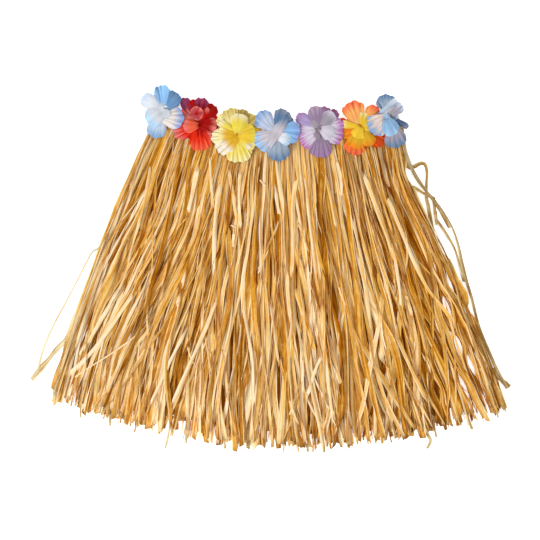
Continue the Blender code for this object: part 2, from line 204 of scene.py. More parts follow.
def stray(chance, layer, across, along):
    """Place across the fringe, all the way down it, of ribbons sewn on at across."""
    each = across.shape
    down = np.clip(along, 0, 1)
    edge = np.minimum(1, 10 * across * (1 - across))
    clumps = 0
    for number, tight in CLUMPS:
        phase = chance.uniform(0, 1)
        shift = 0.25 * np.sin(2 * np.pi * (0.7 * down + chance.uniform(0, 1)))
        gather = np.sin(2 * np.pi * (number * across + phase + shift))
        clumps = clumps - tight * gather / (2 * np.pi * number) * smooth(down / 0.25)
    drift = chance.normal(0, STRAY, each) * layer.loose
    drift = np.where(chance.uniform(0, 1, each) < FAR_SHARE, drift * FAR_STRAY, drift)
    bend = wander(chance, each, along, (0.85, 0.3, 1.0), (0.15, 1.4, 3.0))
    calm = bend[:, :1] * (1 - down)
    kink_at = chance.uniform(0.1, 0.85, each)
    kinked = chance.uniform(0, 1, each) < KINK_SHARE
    kink = np.where(kinked, chance.normal(0, KINK, each), 0) * np.maximum(0, down - kink_at)
    own = drift * (down - STRAY_FROM) * 1.4 + kink * layer.loose
    own = own + (bend - calm) * BEND * layer.loose * smooth(down / 0.5)
    place = across + clumps * edge + own * np.minimum(1, 3 * edge)
    near_left = smooth((0.36 - across) / 0.22)
    swept = SWEEP * chance.uniform(0, 1, each) * layer.loose * near_left
    place = place * (1 - np.minimum(swept, SWEEP_MOST) * smooth((down - 0.22) / 0.6))
    inset = 0.002 + 0.02 * chance.uniform(0, 1, each) ** 2
    place = np.clip(place, inset, layer.end - inset)
    rising = wander(chance, each, along, (0.6, 0.6, 1.6), (0.4, 2, 4))
    over = chance.normal(0, WEAVE, each) + FLOAT * rising
    waver = WAVER * smooth(down / 0.2) * (1 - 0.45 * smooth((down - 0.35) / 0.4))
    place = place + waver * rising * layer.loose * edge
    return np.clip(place, inset, layer.end - inset), over


def ribbon_width(chance, layer, wide, across, along, tip):
    """Width of ribbons along their way, and which of them are split."""
    each = across.shape
    wide = wide * np.exp(np.clip(chance.normal(0, 0.36, each), -0.7, 0.8))
    split = chance.uniform(0, 1, each) < SPLIT_SHARE
    wide = np.where(split, wide * SPLIT_WIDTH, wide)
    breathe = 1 + 0.2 * wander(chance, each, along, (1, 1, 3))
    width = wide * breathe * blend(0.76, 1.1, smooth(0.1 + np.clip(along, 0, 1) / 0.7))
    width = width * blend(0.92, 1, smooth((tip - along) / 0.02))
    aside = np.abs(across - 0.5)
    finer = np.where(across < 0.5, 0.2, 0.08)
    width = width * (1 - finer * smooth((aside - 0.25) / 0.15))
    width = width * (1 - 0.6 * (layer.loose < MATTED) * smooth((aside - 0.4) / 0.08))
    return width, split


def ribbon_roll(chance, layer, along):
    """Turn of ribbons about their own length. Some of them are twisted over."""
    each = (layer.ribbons, 1)
    down = np.clip(along, 0, 1)
    lean = chance.normal(0, 0.35, each)
    turning = wander(chance, each, along, (0.65, 0.5, 1.8), (0.35, 2, 5))
    roll = (lean + turning) * layer.loose
    twisted = chance.uniform(0, 1, each) < TWIST_SHARE * (layer.loose - 0.3)
    twist_at = chance.uniform(0.15, 0.9, each)
    twist_by = chance.choice([-1, 1], each) * np.pi
    roll = roll + np.where(twisted, twist_by * smooth((along - twist_at) / TWIST_LENGTH), 0)
    return roll * blend(0.5, 1, smooth(down / 0.1)) * blend(1, 0.5, smooth((down - 0.85) / 0.1))


def ribbon_tone(chance, layer, across, along, split, tipped):
    """How pale ribbons are along their way: 0 is amber, 1 is cream, with painted shade on the lower
    rows and towards the right side.
    """
    each = across.shape
    kinds = chance.choice(KINDS, each, p=KIND_SHARES)
    kinds = kinds * (1.1 + 0.2 * smooth((0.35 - across) / 0.25))
    # layer.pale darkens the lower rows as painted shade under the rows above.
    tone = TONE + kinds + chance.normal(0, 0.06, each) + layer.pale
    tone = tone + np.where(split, 0.08, -0.03)
    tone = tone + 0.07 * wander(chance, each, along, (0.6, 0.5, 2), (0.4, 3, 6))
    olive = 0.1 + 0.1 * smooth((across - 0.45) / 0.08) * smooth((0.82 - across) / 0.1)
    tone = tone - olive * tipped
    # Towards the hem the lower rows' painted shade is partly taken off again.
    tone = tone + (0.02 - 0.4 * layer.pale) * smooth((along - 0.8) / 0.16)
    # Painted light and shade: ribbons are lighter at the left, where the light comes from, and
    # darker towards the right.
    tone = tone - 0.1 * smooth((across - 0.6) / 0.35) + 0.05 * smooth((0.3 - across) / 0.25)
    low = smooth((np.clip(along, 0, 1) - 0.5) / 0.3)
    return tone + 0.05 * smooth((0.7 - across) / 0.4) * low


def ribbon_layer(layer):
    """Lays out one row of ribbons: where each runs, how wide, how folded and how pale it is."""
    chance = np.random.default_rng(layer.seed)
    each = (layer.ribbons, 1)
    sewn, root, body, hem, tips, wide = (length * MM for length in layer[4:10])
    station = np.linspace(0, 1, RIBBON_STATIONS)[None, :]
    start = (sewn - BAND_HEIGHT / 2 - chance.uniform(*CUT_ABOVE, each) * MM) / DROP
    tip = layer.reach - chance.uniform(0, SHORT_BY, each)
    long_ones = chance.uniform(0, 1, each) < LONG_SHARE
    tip = np.where(long_ones, layer.reach + chance.uniform(0.0, LONG_BY, each), tip)
    along = blend(start, tip, station)
    down = np.clip(along, 0, 1)
    spacing = 1 / layer.ribbons
    across = (np.arange(layer.ribbons)[:, None] + 0.5 + chance.uniform(-0.45, 0.45, each)) * spacing
    place, over = stray(chance, layer, across, along)

    height = blend(root, blend(body, hem, np.clip(along / 0.93, 0, 1)), smooth(down / 0.1))
    height[:, 0] = min(root, ON_BAND)
    height = blend(height, tips, smooth((along - 0.88) / 0.14))
    height = height + over * layer.loose * MM * smooth(down / 0.08)

    width, split = ribbon_width(chance, layer, wide, across, along, tip)
    plan = fringe_point(place, along)
    if layer.loose > MATTED:
        plan = parted(plan, width / 2)
    roll = ribbon_roll(chance, layer, along)
    fold = chance.choice([-1, 1], each, p=[0.4, 0.6]) * chance.uniform(0.25, 0.75, each)
    fold = fold * (0.8 + 0.5 * wander(chance, each, along, (1, 0.5, 2)))
    fold_at = 0.55 * wander(chance, each, along, (1, 0.2, 1.1))
    curl = 0.35 * wander(chance, each, along, (1, 0.3, 1.5))
    tipped = smooth((along - tip + WORN_TIP) / WORN_TIP)
    tone = ribbon_tone(chance, layer, across, along, split, tipped)
    cut = chance.normal(0, 0.5 if layer.loose > MATTED else 0.15, each)
    worn = np.maximum(0.7 * tipped, 0.3 * smooth((np.abs(place - 0.5) - 0.465) / 0.03))
    return Ribbons(plan, height, width, roll, fold, fold_at, curl, tone, worn, cut)


def frames(way):
    """Onward, sideways and upward at each point of a way, and the steps between them."""
    onward = np.gradient(way, axis=-2)
    step = np.linalg.norm(onward, axis=-1, keepdims=True)
    onward = onward / step
    side = np.cross(onward, (0, 0, 1))
    side = side / np.linalg.norm(side, axis=-1, keepdims=True)
    return onward, side, np.cross(side, onward), step


def ribbon_sheet(ribbons, seed):
    """Points and dyes of ribbons from their middle lines, as arrays ribbon, station, point."""
    chance = np.random.default_rng(seed + 100)
    plan, height, width, roll, fold, fold_at, curl, tone, worn, cut = ribbons
    centre = np.concatenate([plan, height[..., None]], axis=-1)
    tangent, side, lift, step = frames(centre)
    crease = fold_at[..., None]
    left, right = -1 + 0 * crease, 1 + 0 * crease
    u = [left, (left + crease) / 2, crease - CREASE, crease + CREASE, (crease + right) / 2, right]
    u = np.concatenate(u, axis=-1)
    ridge = fold[..., None] * (1 - np.abs(u - crease) / (1 + np.abs(crease)))
    rise = ridge + curl[..., None] * (u**2 - 0.4) - 0.45 * fold[..., None]
    half = width[..., None] / 2
    cos, sin = np.cos(roll)[..., None], np.sin(roll)[..., None]
    sideways = half * (u * cos - rise * sin)
    upward = half * (u * sin + rise * cos)
    at_tip = np.zeros(width.shape[1])
    at_tip[-1] = 1
    onward = half * u * cut[..., None] * at_tip[None, :, None]
    points = (
        centre[:, :, None, :]
        + sideways[..., None] * side[:, :, None, :]
        + upward[..., None] * lift[:, :, None, :]
        + onward[..., None] * tangent[:, :, None, :]
    )
    points[..., 2] = np.maximum(points[..., 2], FLOOR_GAP)
    run = np.cumsum(step, axis=1)
    own = chance.uniform(0, 1, (len(width), 1, 1))
    shades = tone[..., None], u * 0.5 + 0.5, run, own, worn[..., None]
    dyes = np.stack(np.broadcast_arrays(*shades), axis=-1)
    return points, dyes


def sheet_faces(sheets, rows, columns):
    """Corner numbers of the quads of several grids laid one after another."""
    grid = np.arange(rows * columns).reshape(rows, columns)
    quads = np.stack([grid[:-1, :-1], grid[:-1, 1:], grid[1:, 1:], grid[1:, :-1]], axis=-1)
    starts = np.arange(sheets)[:, None, None] * rows * columns
    return (quads.reshape(1, -1, 4) + starts).reshape(-1, 4)


def cell_places(sheets, rows, columns, across):
    """Places on a map for grids laid out in cells, so many cells across."""
    down = -(-sheets // across)
    number = np.arange(sheets)
    u = (number % across)[:, None, None] + np.linspace(0.04, 0.96, columns)[None, None, :]
    v = (number // across)[:, None, None] + np.linspace(0.02, 0.98, rows)[None, :, None]
    return np.stack(np.broadcast_arrays(u / across, v / down), axis=-1).reshape(-1, 2)


def placed(name, data):
    """New object in the scene."""
    obj = bpy.data.objects.new(name, data)
    bpy.context.scene.collection.objects.link(obj)
    return obj


def mesh_object(name, points, quads, tag=None, colours=None, places=None):
    """Mesh object from arrays. A fifth column of its colours is how worn its points are."""
    mesh = bpy.data.meshes.new(name)
    mesh.from_pydata(points.reshape(-1, 3), [], quads)
    mesh.validate()
    mesh.shade_smooth()
    if colours is not None:
        layer = mesh.color_attributes.new(tag, "FLOAT_COLOR", "POINT")
        layer.data.foreach_set("color", colours[:, :4].astype(np.float32).ravel())
        if colours.shape[1] > 4:
            worn = mesh.attributes.new("worn", "FLOAT", "POINT")
            worn.data.foreach_set("value", colours[:, 4].astype(np.float32))
        flat = mesh.uv_layers.new(name=MAP_NAME)
        flat.data.foreach_set("uv", places[quads.ravel()].astype(np.float32).ravel())
    return placed(name, mesh)


def ribbons_object(name, parts):
    """One object from several sets of ribbons, each (points, dyes)."""
    points, dyes = (np.concatenate(arrays) for arrays in zip(*parts))
    ribbons, stations, columns = points.shape[:3]
    quads = sheet_faces(ribbons, stations, columns)
    places = cell_places(ribbons, stations, columns, ribbons)
    dyes = dyes.reshape(-1, dyes.shape[-1])
    return mesh_object(name, points, quads, "tint", dyes, places)


# ---- single ribbons ----

# Ribbons followed one by one: width in mm, tone, and the way they take in mm. The crossing
# ones lie over the fringe and their ends tuck into it, so their ways have no heights. The
# hanging ones leave the fringe at its sides and hem.
Strand = namedtuple("Strand", "width tone way")


def strands(*rows):
    return tuple(Strand(row[0], row[1], row[2:]) for row in rows)


CROSSING = strands(
    (4.1, 0.78, (-159, 154), (-166, 111), (-176, 65), (-188, 27)),
    (5.7, 1, (-96, 143), (-103, 111), (-111, 72)),
    (1.5, 0.73, (-109, 73), (-119, 63), (-128, 53)),
    (4.1, 0.86, (-81, 159), (-80, 122), (-77, 76)),
    (5.4, 0.98, (-59, 132), (-70, 100), (-74, 57), (-77, -19)),
    (4.9, 0.67, (-57, 144), (-51, 108), (-42, 59)),
    (4.1, 0.88, (-39, 143), (-42, 100), (-39, 46)),
    (2.0, 1.08, (-15, 123), (-5, 111)),
    (2.2, 1.08, (-54, 61), (-46, 57)),
    (3.2, 0.98, (-49, 53), (-49, 28)),
    (4.1, 0.96, (7, 120), (9, 94), (14, 69)),
    (2.7, 0.7, (15, 78), (8, 55), (-3, 31), (-19, -8)),
    (1.9, 0.83, (0, 32), (-9, 11), (-18, -9)),
    (5.4, 0.78, (39, 143), (31, 94), (31, 43), (27, -24)),
    (4.1, 0.83, (46, 148), (51, 88), (58, 27), (65, -30)),
    (2.0, 0.74, (35, 68), (45, 45), (53, 19)),
    (4.3, 0.93, (88, 154), (96, 116), (94, 92)),
    (4.6, 0.73, (65, 148), (77, 116), (92, 46)),
    (4.3, 0.86, (107, 78), (119, 35), (130, -30)),
    (5.4, 0.83, (123, 138), (138, 97), (157, 47), (171, 3)),
    (4.9, 0.76, (148, 122), (178, 49), (209, -20), (239, -59), (266, -96)),
    (4.9, 0.88, (-200, -18), (-219, -51), (-240, -89), (-262, -122)),
    (5.7, 0.96, (-173, -18), (-200, -54), (-230, -97), (-259, -130), (-286, -154)),
    (1.8, 0.83, (-163, -65), (-178, -86), (-213, -112), (-248, -134), (-278, -155)),
    (5.1, 0.86, (-65, -24), (-90, -86), (-115, -143), (-140, -200)),
    (4.3, 0.98, (-109, -73), (-138, -130), (-166, -193)),
    (2.4, 0.75, (-112, -99), (-107, -117), (-101, -130)),
    (4.1, 0.83, (-182, -81), (-202, -124), (-225, -176)),
    (3.5, 0.88, (-1, -40), (5, -74), (12, -130)),
    (3.4, 0.76, (-8, -103), (-16, -143), (-23, -192)),
    (4.1, 1, (72, -109), (59, -140), (49, -174)),
    (3.8, 0.86, (49, -171), (61, -194), (73, -219)),
    (3.0, 0.75, (81, -178), (76, -200), (69, -219)),
    (6.2, 0.61, (32, -19), (45, -57), (63, -119)),
    (4.1, 0.94, (36, -65), (42, -108), (45, -178)),
    (5.4, 0.8, (68, -24), (73, -101), (86, -219)),
    (4.1, 0.74, (105, -40), (96, -73), (90, -111)),
    (2.4, 0.98, (90, -18), (103, -53)),
    (3.2, 0.74, (24, -170), (31, -192), (40, -212)),
    (6.2, 0.72, (151, -16), (148, -65), (136, -124), (127, -173), (116, -217)),
    (4.3, 0.78, (116, 43), (127, -14), (138, -103)),
    (4.1, 0.88, (161, 46), (170, 5), (178, -57)),
    (4.1, 0.88, (182, -31), (193, -66)),
    (5.4, 0.61, (167, -81), (189, -130), (215, -182)),
    (3.0, 0.57, (236, -40), (246, -81), (265, -138), (281, -181)),
)
HANGING = strands(
    (2.8, 0.8, (-144, 200, 8), (-182, 126, 9), (-225, 38, 10.5), (-240, 24, 11.6),
     (-260, -14, 9.6), (-279, -49, 7.4), (-296, -81, 6.2), (-308, -111, 5.4), (-314, -137, 4.6)),
    (7.5, 0.82, (-262, -60, 7.5), (-275, -92, 5.6), (-289, -108, 4.2), (-302, -124, 3),
     (-323, -149, 2.4)),
    (4.2, 0.5, (178, 192, 14), (181, 166, 13.6), (189, 142, 13.4), (198, 122, 13),
     (209, 108, 12.6), (220, 97, 12.2), (234, 78, 11.8), (246, 57, 11.2), (254, 34, 10.8),
     (259, 11, 10.4), (265, -14, 10.2), (273, -41, 9.8), (281, -73, 9.2), (289, -95, 8.6),
     (298, -116, 7.8), (308, -138, 6.8), (321, -160, 5.4)),
    (5.4, 0.46, (178, 192, 11), (181, 166, 10.6), (186, 141, 10.2), (193, 139, 10.4),
     (203, 144, 10), (209, 143, 9.6), (212, 132, 9), (211, 101, 8.4), (214, 86, 8),
     (218, 60, 8.4), (224, 30, 9)),
    (4.6, 0.48, (220, 99, 11), (225, 61, 11)),
    (5.0, 0.48, (181, 159, 14), (192, 135, 13.5), (208, 111, 13), (227, 85, 12.5),
     (243, 57, 11.5)),
    (4.2, 0.45, (192, 113, 13), (208, 103, 12.5), (223, 96, 12)),
    (3.6, 0.5, (224, 69, 11.5), (239, 47, 11), (251, 24, 10.5), (262, -16, 10)),
    (1.8, 0.3, (267, -22, 9.6), (275, -47, 9), (282, -77, 8.4)),
    (3.2, 0.62, (290, -132, 6), (300, -170, 4), (309, -200, 2)),
    (3.5, 0.55, (259, -165, 6), (267, -196, 3.4), (274, -216, 1.6)),
    (4.6, 0.66, (208, -194, 6.6), (213, -221, 3.4), (217, -231, 2.4), (213, -242, 1.6)),
    (2.7, 0.6, (220, -196, 6), (225, -227, 2)),
    (2.4, 0.7, (198, -200, 6), (202, -225, 2)),
    (5.9, 0.5, (302, -132, 7), (310, -146, 5), (325, -158, 2.4)),
    (2.4, 0.62, (-256, -162, 5), (-257, -200, 1.6)),
    (3.8, 0.66, (-217, -173, 5), (-217, -211, 1.8)),
    (3.0, 0.7, (-132, -197, 6), (-142, -242, 1.8)),
    (3.8, 0.75, (-111, -202, 6), (-114, -235, 2)),
    (5.9, 0.62, (-30, -208, 6), (-30, -242, 2)),
    (2.4, 0.8, (20, -219, 6), (18, -247, 1.6)),
    (4.1, 0.5, (49, -219, 5), (51, -246, 1.8)),
    (3.2, 0.62, (-63, -216, 5), (-61, -242, 1.8)),
    (3.0, 0.5, (107, -216, 5), (107, -242, 1.8)),
)
STRAND_SEED = 31
CREST_TOP = 17.5 * MM  # a crossing ribbon's height below the band, and by the hem
CREST_HEM = 14 * MM
TUCK = 9 * MM  # how far its ends go down into the fringe
TUCK_SHARE = 0.18  # share of its length that does so at each end
NARROW_SHARE = 0.16  # share of its length where it narrows to each end, and how narrow
NARROW_END = 0.25


def smooth_way(points, pieces):
    """Even points on a smooth curve through a way's own points."""
    way = np.array(points, dtype=float)
    way = np.concatenate([[2 * way[0] - way[1]], way, [2 * way[-1] - way[-2]]])
    t = np.linspace(0, 1, 8, endpoint=False)[:, None]
    curve = [
        0.5 * (
            2 * b + (c - a) * t + (2 * a - 5 * b + 4 * c - d) * t**2
            + (3 * b - a - 3 * c + d) * t**3)
        for a, b, c, d in zip(way, way[1:], way[2:], way[3:])
    ]
    curve = np.concatenate([*curve, way[-2:-1]])
    run = np.concatenate([[0], np.cumsum(np.linalg.norm(np.diff(curve, axis=0), axis=1))])
    at = np.linspace(0, run[-1], pieces)
    return np.stack([np.interp(at, run, curve[:, axis]) for axis in range(way.shape[1])], axis=-1)


def over_fringe(plan, from_end):
    """Heights for a crossing ribbon: over the upper row, with both ends tucked in."""
    down = np.clip((BAND_LOW_Y - plan[:, 1]) / DROP, 0, 1)
    return blend(CREST_TOP, CREST_HEM, down) - TUCK * (1 - smooth(from_end / TUCK_SHARE))


def strand_sheets(chosen, seed):
    """Points and dyes of the ribbons that are followed one by one."""
    chance = np.random.default_rng(seed)
    station = np.linspace(0, 1, RIBBON_STATIONS)[None, :]
    from_end = np.minimum(station, 1 - station)
    each = (len(chosen), 1)
    hangs = np.array([[len(strand.way[0]) == 3] for strand in chosen])
    ways = [smooth_way(strand.way, RIBBON_STATIONS) * MM for strand in chosen]
    ways = np.stack([
        way if hanging else np.column_stack([way, over_fringe(way, from_end[0])])
        for way, hanging in zip(ways, hangs[:, 0])])
    width = np.array([[strand.width * MM] for strand in chosen]) * (1 + 0 * station)
    width = width * (1 + 0.14 * wander(chance, each, station, (1, 1, 3)))
    width = width * np.where(hangs, 1, blend(NARROW_END, 1, smooth(from_end / NARROW_SHARE)))
    roll = chance.normal(0, 0.2, each)
    roll = roll + 0.45 * wander(chance, each, station, (0.7, 0.4, 1.2), (0.3, 1.5, 3))
    fold = chance.uniform(0.2, 0.6, each) * (1 + 0 * station)
    fold_at = 0.4 * wander(chance, each, station, (1, 0.2, 1))
    curl = 0.3 * wander(chance, each, station, (1, 0.3, 1.2))
    tone = np.array([[strand.tone] for strand in chosen])
    tone = tone + 0.13 * wander(chance, each, station, (0.6, 0.5, 2), (0.4, 3, 5))
    worn = np.where(hangs, 0.9, 0) * (1 + 0 * station)
    cut = chance.normal(0, 0.5, each)
    plan, height = ways[..., :2], ways[..., 2]
    ribbons = Ribbons(plan, height, width, roll, fold, fold_at, curl, tone, worn, cut)
    return ribbon_sheet(ribbons, seed)


# ---- materials ----


def colour(code):
    """Linear colour from six hexadecimal digits of an sRGB colour."""
    channels = [int(code[i:i + 2], 16) / 255 for i in (0, 2, 4)]
    return tuple(c / 12.92 if c <= 0.04045 else ((c + 0.055) / 1.055) ** 2.4 for c in channels)


class Nodes:
    """Short calls for building one material's node tree."""

    def __init__(self, name):
        self.material = bpy.data.materials.new(name)
        self.material.use_nodes = True
        self.tree = self.material.node_tree
        self.tree.nodes.clear()
        self.output = self.tree.nodes.new("ShaderNodeOutputMaterial")

    def add(self, kind, settings=None, **inputs):
        """New node. settings are its own properties, inputs its sockets by name."""
        node = self.tree.nodes.new("ShaderNode" + kind)
        for key, value in (settings or {}).items():
            setattr(node, key, value)
        for key, value in inputs.items():
            self.put(node, key.replace("_", " "), value)
        return node

    def put(self, node, socket, value):
        """Links or sets a socket, called by its name or by # and its number."""
        target = node.inputs[int(socket[1:])] if socket[0] == "#" else node.inputs[socket]
        if isinstance(value, bpy.types.NodeSocket):
            self.tree.links.new(value, target)
        else:
            target.default_value = value

    def maths(self, operation, *values):
        node = self.add("Math", {"operation": operation})
        for index, value in enumerate(values):
            self.put(node, f"#{index}", value)
        return node.outputs[0]

    def times(self, value, factor, plus=None):
        if plus is None:
            return self.maths("MULTIPLY", value, factor)
        return self.maths("MULTIPLY_ADD", value, factor, plus)

    def less(self, value, taken):
        return self.maths("SUBTRACT", value, taken)

    def noise(self, place, scale, detail, rough=0.5):
        node = self.add("TexNoise", Vector=place, Scale=scale, Detail=detail, Roughness=rough)
        return node.outputs["Fac"]

    def ramp(self, factor, places, *shades):
        node = self.add("ValToRGB")
        elements = node.color_ramp.elements
        while len(elements) < len(shades):
            elements.new(0.5)
        for element, place, shade in zip(elements, places, shades):
            element.position = place
            element.color = (*shade, 1)
        self.put(node, "Fac", factor)
        return node.outputs["Color"]

    def mixed(self, factor, first, second, mode="MIX"):
        node = self.add("Mix", {"data_type": "RGBA", "blend_type": mode})
        self.put(node, "#0", factor)
        self.put(node, "#6", first)
        self.put(node, "#7", second)
        return node.outputs[2]

    def bump(self, height, strength, depth):
        return self.add("Bump", Strength=strength, Distance=depth, Height=height).outputs[0]

    def finish(self, through=None, share=0, **surface):
        """The material, from its surface's sockets. A share of the light goes through it."""
        out = self.add("BsdfPrincipled", **surface).outputs[0]
        if through:
            glow = self.add("BsdfTranslucent", Color=through, Normal=surface["Normal"])
            both = self.add("MixShader", Fac=share)
            self.put(both, "#1", out)
            self.put(both, "#2", glow.outputs[0])
            out = both.outputs[0]
        self.put(self.output, "Surface", out)
        return self.material


def raffia_material():
    """Dry palm strip: cream to amber, streaked along its length, a little translucent."""
    make = Nodes("raffia")
    tint = make.add("Attribute", {"attribute_name": "tint"})
    parts = make.add("SeparateColor", Color=tint.outputs["Color"])
    tone, u, run = parts.outputs
    own = make.times(tint.outputs["Alpha"], 83.0)

    def grain(x, waves, z, detail, rough=0.5):
        """Uneven marks along a ribbon, from 0 to 1 and about 0."""
        at = make.add("CombineXYZ", X=x, Y=make.times(run, waves), Z=z)
        fac = make.noise(at.outputs[0], 1.0, detail, rough)
        return fac, make.less(fac, 0.5)

    _, streak = grain(make.maths("ADD", make.times(u, 3.2), own), 9.0, own, 4.0, 0.6)
    fine, hair = grain(make.maths("ADD", make.times(u, 11.0), own), 22.0, own, 3.0, 0.7)
    _, spot = grain(u, 60.0, own, 4.0, 0.7)
    _, hue = grain(own, 8.0, u, 1.0)
    shade = make.times(streak, 1.3, tone)
    shade = make.times(hair, 0.95, shade)
    shade = make.times(spot, 0.7, shade)
    # A painted highlight runs along one edge of each ribbon, the left one or the right one.
    flipped = make.maths("GREATER_THAN", tint.outputs["Alpha"], 0.5)
    other_side = make.less(1.0, make.times(u, 2.0))
    from_edge = make.times(flipped, other_side, u)
    painted_edge_highlight = make.maths("MAXIMUM", make.less(0.2, from_edge), 0.0)
    shade = make.times(painted_edge_highlight, 2.4, shade)
    steps = (0, 0.22, 0.45, 0.68, 1)
    golden = make.ramp(
        shade, steps, (0.23, 0.054, 0.001), (0.47, 0.155, 0.002), (0.71, 0.345, 0.03),
        (0.88, 0.55, 0.13), (0.97, 0.8, 0.45))
    beige = make.ramp(
        shade, steps, (0.23, 0.06, 0.001), (0.44, 0.175, 0.01), (0.66, 0.38, 0.085),
        (0.82, 0.6, 0.25), (0.93, 0.81, 0.56))
    # Bleached ribbons are beige: pale ones and those near the hem. Ribbons that lie deep are kept
    # golden as painted warm shade under the rows above.
    bleached = make.times(hue, 3.2, 0.4)
    pale = make.maths("MAXIMUM", make.less(tone, 0.75), 0.0)
    bleached = make.times(pale, 1.6, bleached)
    place = make.add("SeparateXYZ", Vector=make.add("TexCoord").outputs["Object"])
    low_left = make.times(place.outputs["X"], 0.4, place.outputs["Y"])
    at_hem = make.add(
        "MapRange", Value=low_left, From_Min=-70 * MM, From_Max=-190 * MM, To_Max=0.8)
    bleached = make.maths("ADD", bleached, at_hem.outputs["Result"])
    bleached = make.maths("MAXIMUM", make.maths("MINIMUM", bleached, 1.0), 0.0)
    clear_of_painted_shade = make.add("MapRange", Value=place.outputs["Z"], From_Min=3.0 * MM, From_Max=10.5 * MM)
    bleached = make.times(bleached, clear_of_painted_shade.outputs["Result"])
    base = make.mixed(bleached, golden, beige)
    dull = make.ramp(
        shade, (0.15, 0.45, 0.95), (0.16, 0.09, 0.025), (0.36, 0.235, 0.08), (0.74, 0.66, 0.45))
    worn = make.add("Attribute", {"attribute_name": "worn"}).outputs["Fac"]
    base = make.mixed(worn, base, dull)
    lit = make.mixed(worn, (1.0, 0.62, 0.16, 1), (0.5, 0.45, 0.35, 1))
    through = make.mixed(1.0, base, lit, "MULTIPLY")
    rough = make.times(fine, 0.25, 0.34)
    relief = make.times(streak, 1.0, make.times(hair, 0.6))
    bump = make.bump(relief, 0.55, 0.35 * MM)
    return make.finish(
        through, 0.3, Base_Color=base, Roughness=rough, Normal=bump,
        Specular_IOR_Level=0.14, Specular_Tint=(1.0, 0.62, 0.18, 1))


def petal_material(name, gloss):
    """Dyed satin: the colour comes from the petals, dyed and with painted shade and highlights on
    their folds, under a fine weave and soft blotches.
    """
    make = Nodes(name)
    dye = make.add("Attribute", {"attribute_name": "dye"})
    place = make.add("TexCoord").outputs["Object"]
    weave = make.add("TexWave", {"bands_direction": "DIAGONAL"}, Vector=place, Scale=900.0)
    blotch = make.noise(place, 260.0, 4.0, 0.65)
    soft = make.times(blotch, 0.3, 0.85)
    base = make.mixed(0.8, dye.outputs["Color"], soft, "MULTIPLY")
    thread = make.times(weave.outputs["Fac"], 0.3, blotch)
    bump = make.bump(thread, 0.35, 0.15 * MM)
    rough = make.times(blotch, 0.2, 0.42)
    return make.finish(
        base, 0.25, Base_Color=base, Roughness=rough, Normal=bump,
        Specular_IOR_Level=0.16, Specular_Tint=(*gloss, 1))


def elastic_material():
    """Knitted elastic: small stitches with darker gaps, and a soft fuzz."""
    make = Nodes("elastic")
    place = make.add("TexCoord").outputs["Object"]
    knit = make.add("TexVoronoi", Vector=place, Scale=900.0).outputs["Distance"]
    fuzz = make.noise(place, 700.0, 3.0)
    base = make.ramp(knit, (0, 0.7), (0.95, 0.9, 0.8), (0.86, 0.78, 0.64))
    relief = make.times(fuzz, 0.4, knit)
    bump = make.bump(relief, 0.35, 0.25 * MM)
    rough = make.times(fuzz, 0.2, 0.7)
    return make.finish(Base_Color=base, Roughness=rough, Normal=bump, Sheen_Weight=0.3)


# ---- waistband ----

BAND_ENDS = (0.012, 0.988)  # places across where the pressed ring's two ends are
BAND_STEPS = 600
BAND_LINES = 29
BAND_MIDDLE = 5.15 * MM  # height of the middle of the ring, and of its cloth from there
BAND_HALF = 2.4 * MM
BAND_TURN = 0.12  # how sharply the cloth turns over at the ring's ends
RIBS = 7
RIB_HEIGHT = 0.28 * MM
GATHERS = 95
GATHER_HEIGHT = 0.3 * MM
SEAM_TURNS = 281
SEAM_SWING = 1.5 * MM
THREAD = 0.4 * MM


def waistband():
    """Knitted elastic ring pressed flat, ribbed along its length and gathered by its thread."""
    around = np.linspace(0, 1, BAND_STEPS + 1)[:-1]
    down = np.linspace(0, 1, BAND_LINES)
    across = blend(*BAND_ENDS, 0.5 + 0.5 * np.cos(2 * np.pi * around))[:, None]
    flat = np.sin(2 * np.pi * around)
    lift = (np.sign(flat) * np.minimum(1, np.abs(flat) / BAND_TURN))[:, None]
    ribs = RIB_HEIGHT * np.abs(np.sin(np.pi * RIBS * down))[None, :]
    gathers = GATHER_HEIGHT * np.sin(2 * np.pi * GATHERS * around)[:, None]
    gathers = gathers * np.sin(np.pi * down)[None, :] ** 0.5
    height = BAND_MIDDLE + lift * (BAND_HALF + ribs + gathers)
    plan = band_point(across, (down[None, :] - 0.5) * BAND_HEIGHT)
    points = np.concatenate([plan, height[..., None]], axis=-1)
    points = np.concatenate([points, points[:1]], axis=0)
    return mesh_object("waistband_knit", points, sheet_faces(1, *points.shape[:2]))


def zigzag_thread():
    """Zigzag seam along the upper row's heading: one thread, round in section."""
    turns = np.arange(SEAM_TURNS)
    across = blend(*BAND_ENDS, turns / (SEAM_TURNS - 1))
    swing = SEAM_SWING * np.where(turns % 2, 1, -1)
    plan = band_point(across, LAYERS[-1].place * MM + swing)
    height = ON_BAND + BAND_HALF + 0.5 * swing
    way = np.concatenate([plan, height[:, None]], axis=-1)
    _, side, lift, _ = frames(way)
    around = np.linspace(0, 2 * np.pi, 7)[None, :, None]
    ring = np.cos(around) * side[:, None] + np.sin(around) * lift[:, None]
    points = way[:, None] + THREAD * ring
    return mesh_object("seam_thread", points, sheet_faces(1, *points.shape[:2]))
